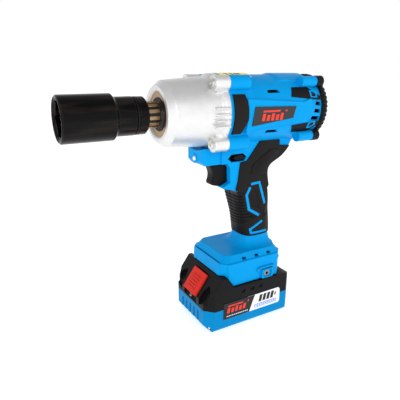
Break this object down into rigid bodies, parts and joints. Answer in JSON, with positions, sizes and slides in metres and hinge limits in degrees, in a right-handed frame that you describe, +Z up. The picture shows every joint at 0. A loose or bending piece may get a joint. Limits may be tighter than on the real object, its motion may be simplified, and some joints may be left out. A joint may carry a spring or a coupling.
{
  "type": "impact wrench",
  "caption": "Pistol-grip cordless impact wrench with a cast hammer case, square drive holding a deep socket, trigger, direction lever and slide-on battery pack.",
  "frame": {"origin": "centre of the battery pack's flat underside", "axes": "-Y towards the square drive, +X to the tool's left side, +Z up; the drive axis runs along Y at z = 228 mm"},
  "size_m": [0.0758, 0.272, 0.2645],
  "materials": {
    "blue_plastic": "fine moulded texture, satin",
    "black_plastic": "fine moulded texture",
    "black_rubber": "matt, overmoulded",
    "red_plastic": "satin",
    "cast_aluminium": "bead blasted casting",
    "steel_black": "black oxide, oiled",
    "bright_steel": "ground",
    "zinc_screw": "zinc plated",
    "bronze": "sintered bronze",
    "copper": "enamelled wire",
    "lamination": "stacked laminations",
    "magnet": "nickel plated",
    "board_green": "solder mask",
    "yellow_film": "printed film",
    "label_film": "printed film",
    "badge_film": "printed plate",
    "cell_wrap": "shrink film",
    "lens": "clear lens"
  },
  "bodies": {
    "housing": {"left_housing": "blue_plastic", "right_housing": "blue_plastic", "grip_left": "black_rubber", "grip_right": "black_rubber", "side_bumpers": "black_rubber", "side_badges": "badge_film", "quarter_insets": "black_plastic", "top_sticker": "yellow_film", "rear_cap": "black_plastic", "rear_screws": "zinc_screw", "housing_screws": "zinc_screw", "hammer_case": "cast_aluminium", "case_screws": "zinc_screw", "anvil_bush": "bronze", "nose_seal": "bronze", "ring_gear": "bright_steel", "gear_plate": "black_plastic", "spindle_bearing": "bright_steel", "front_motor_bearing": "bright_steel", "rear_motor_bearing": "bright_steel", "stator_core": "lamination", "stator_windings": "copper", "motor_board": "board_green", "lamp_lens": "lens", "lamp_board": "board_green", "trigger_switch": "black_plastic", "controller": "black_plastic", "terminal_block": "black_plastic", "terminal_blades": "copper", "hook_inserts": "bronze"},
    "spindle": {"spindle": "bright_steel", "planet_pins": "bright_steel", "hammer_spring": "bright_steel", "spring_washer": "bright_steel"},
    "planet_1": {"planet_gear_1": "bright_steel"},
    "planet_2": {"planet_gear_2": "bright_steel"},
    "planet_3": {"planet_gear_3": "bright_steel"},
    "rotor": {"rotor_shaft": "bright_steel", "rotor_core": "lamination", "rotor_magnets": "magnet", "cooling_fan": "black_plastic"},
    "cam_balls": {"cam_balls": "bright_steel"},
    "hammer": {"hammer": "bright_steel"},
    "anvil": {"anvil": "bright_steel", "friction_ring": "bright_steel"},
    "impact_socket": {"impact_socket": "steel_black"},
    "trigger": {"trigger": "black_plastic", "trigger_spring": "bright_steel"},
    "direction_lever": {"direction_lever": "black_plastic"},
    "battery": {"battery_lower_case": "blue_plastic", "battery_upper_case": "black_plastic", "battery_cells": "cell_wrap", "cell_holders": "black_plastic", "cell_straps": "zinc_screw", "battery_board": "board_green", "battery_contacts": "copper", "battery_labels": "label_film", "battery_screws": "zinc_screw", "release_spring": "bright_steel"},
    "release_button": {"release_button": "red_plastic"}
  },
  "joints": [
    {"name": "spindle_spin", "type": "hinge", "parent": "housing", "child": "spindle", "pos_m": [0, -0.02, 0.228], "axis": [0, 1, 0], "continuous": true},
    {"name": "rotor_spin", "type": "hinge", "parent": "housing", "child": "rotor", "pos_m": [0, 0.03, 0.228], "axis": [0, 1, 0], "continuous": true},
    {"name": "anvil_spin", "type": "hinge", "parent": "housing", "child": "anvil", "pos_m": [0, -0.08, 0.228], "axis": [0, 1, 0], "continuous": true},
    {"name": "hammer_cam", "type": "hinge", "parent": "spindle", "child": "cam_balls", "pos_m": [0, -0.044, 0.228], "axis": [0, 1, 0], "range_deg": [0, 34]},
    {"name": "hammer_retract", "type": "slide", "parent": "cam_balls", "child": "hammer", "axis": [0, 1, 0], "range_m": [0, 0.0082], "stiffness_N_per_m": 6000, "springref_m": -0.004, "deforming": ["hammer_spring"]},
    {"name": "socket_pull", "type": "slide", "parent": "anvil", "child": "impact_socket", "axis": [0, -1, 0], "range_m": [0, 0.032]},
    {"name": "trigger_pull", "type": "slide", "parent": "housing", "child": "trigger", "axis": [0, 1, 0], "range_m": [0, 0.007], "stiffness_N_per_m": 900, "springref_m": -0.004, "deforming": ["trigger_spring"]},
    {"name": "direction_select", "type": "hinge", "parent": "housing", "child": "direction_lever", "pos_m": [0, 0.009, 0.182], "axis": [0, 0, 1], "range_deg": [-6, 6]},
    {"name": "battery_slide", "type": "slide", "parent": "housing", "child": "battery", "axis": [0, -1, 0], "range_m": [0, 0.072]},
    {"name": "button_press", "type": "slide", "parent": "battery", "child": "release_button", "axis": [0, -0.5848, -0.8112], "range_m": [0, 0.004], "stiffness_N_per_m": 800, "springref_m": -0.003, "deforming": ["release_spring"]},
    {"name": "planet_1_spin", "type": "hinge", "parent": "spindle", "child": "planet_1", "pos_m": [0, -0.0155, 0.2412], "axis": [0, 1, 0], "continuous": true},
    {"name": "planet_2_spin", "type": "hinge", "parent": "spindle", "child": "planet_2", "pos_m": [-0.01143, -0.0155, 0.2214], "axis": [0, 1, 0], "continuous": true},
    {"name": "planet_3_spin", "type": "hinge", "parent": "spindle", "child": "planet_3", "pos_m": [0.01143, -0.0155, 0.2214], "axis": [0, 1, 0], "continuous": true}
  ],
  "couplings": [
    {"joint": "rotor_spin", "follows": "spindle_spin", "ratio": 5.5},
    {"joint": "anvil_spin", "follows": "spindle_spin", "ratio": 1},
    {"joint": "hammer_cam", "follows": "hammer_retract", "rad_per_m": 72.367},
    {"joint": "planet_1_spin", "follows": "spindle_spin", "ratio": -2.5714},
    {"joint": "planet_2_spin", "follows": "spindle_spin", "ratio": -2.5714},
    {"joint": "planet_3_spin", "follows": "spindle_spin", "ratio": -2.5714}
  ]
}
